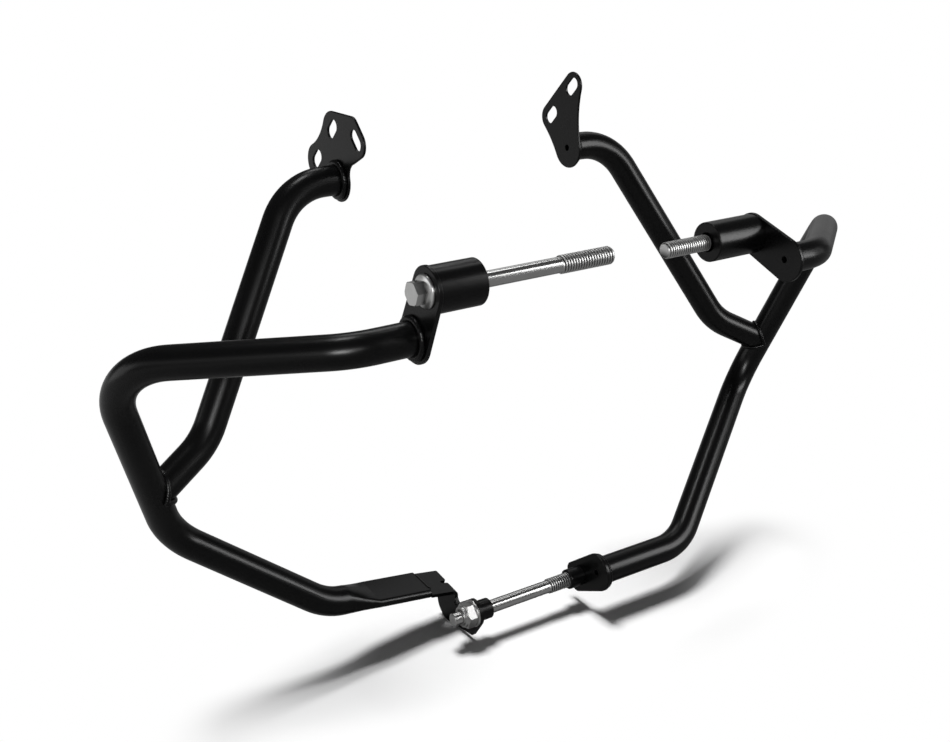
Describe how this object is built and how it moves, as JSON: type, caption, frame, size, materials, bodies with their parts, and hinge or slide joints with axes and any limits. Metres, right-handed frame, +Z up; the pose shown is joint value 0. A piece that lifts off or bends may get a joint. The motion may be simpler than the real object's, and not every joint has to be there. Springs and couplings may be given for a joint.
{
  "type": "motorcycle crash bars",
  "caption": "Pair of bent-tube motorcycle crash bars with braces, welded mounting plates, spacers, long upper bolts and a through stud below.",
  "frame": {"origin": "on the axis of the lower stud, halfway across the motorcycle", "axes": "+X across the motorcycle along the stud, +Y towards its rear, +Z up; the right-hand bar is at negative X"},
  "size_m": [0.6327, 0.2666, 0.41],
  "materials": {
    "black_coat": "satin black powder coat on steel",
    "zinc_steel": "bright zinc-plated steel"
  },
  "bodies": {
    "root": {"right_main_tube": "black_coat", "right_brace_tube": "black_coat", "right_brace_weld": "black_coat", "right_upper_plate": "black_coat", "right_upper_weld": "black_coat", "right_upper_spacer": "black_coat", "right_upper_bolt": "zinc_steel", "right_rear_plate": "black_coat", "right_rear_weld": "black_coat", "right_lower_bracket": "black_coat", "right_lower_weld": "black_coat", "right_lower_bush": "black_coat", "left_main_tube": "black_coat", "left_brace_tube": "black_coat", "left_brace_weld": "black_coat", "left_upper_plate": "black_coat", "left_upper_weld": "black_coat", "left_upper_spacer": "black_coat", "left_upper_bolt": "zinc_steel", "left_rear_plate": "black_coat", "left_rear_weld": "black_coat", "left_lower_plate": "black_coat", "left_lower_weld": "black_coat", "left_lower_bush": "black_coat", "lower_stud": "zinc_steel", "lower_nut": "zinc_steel", "lower_washer": "zinc_steel"}
  },
  "joints": []
}
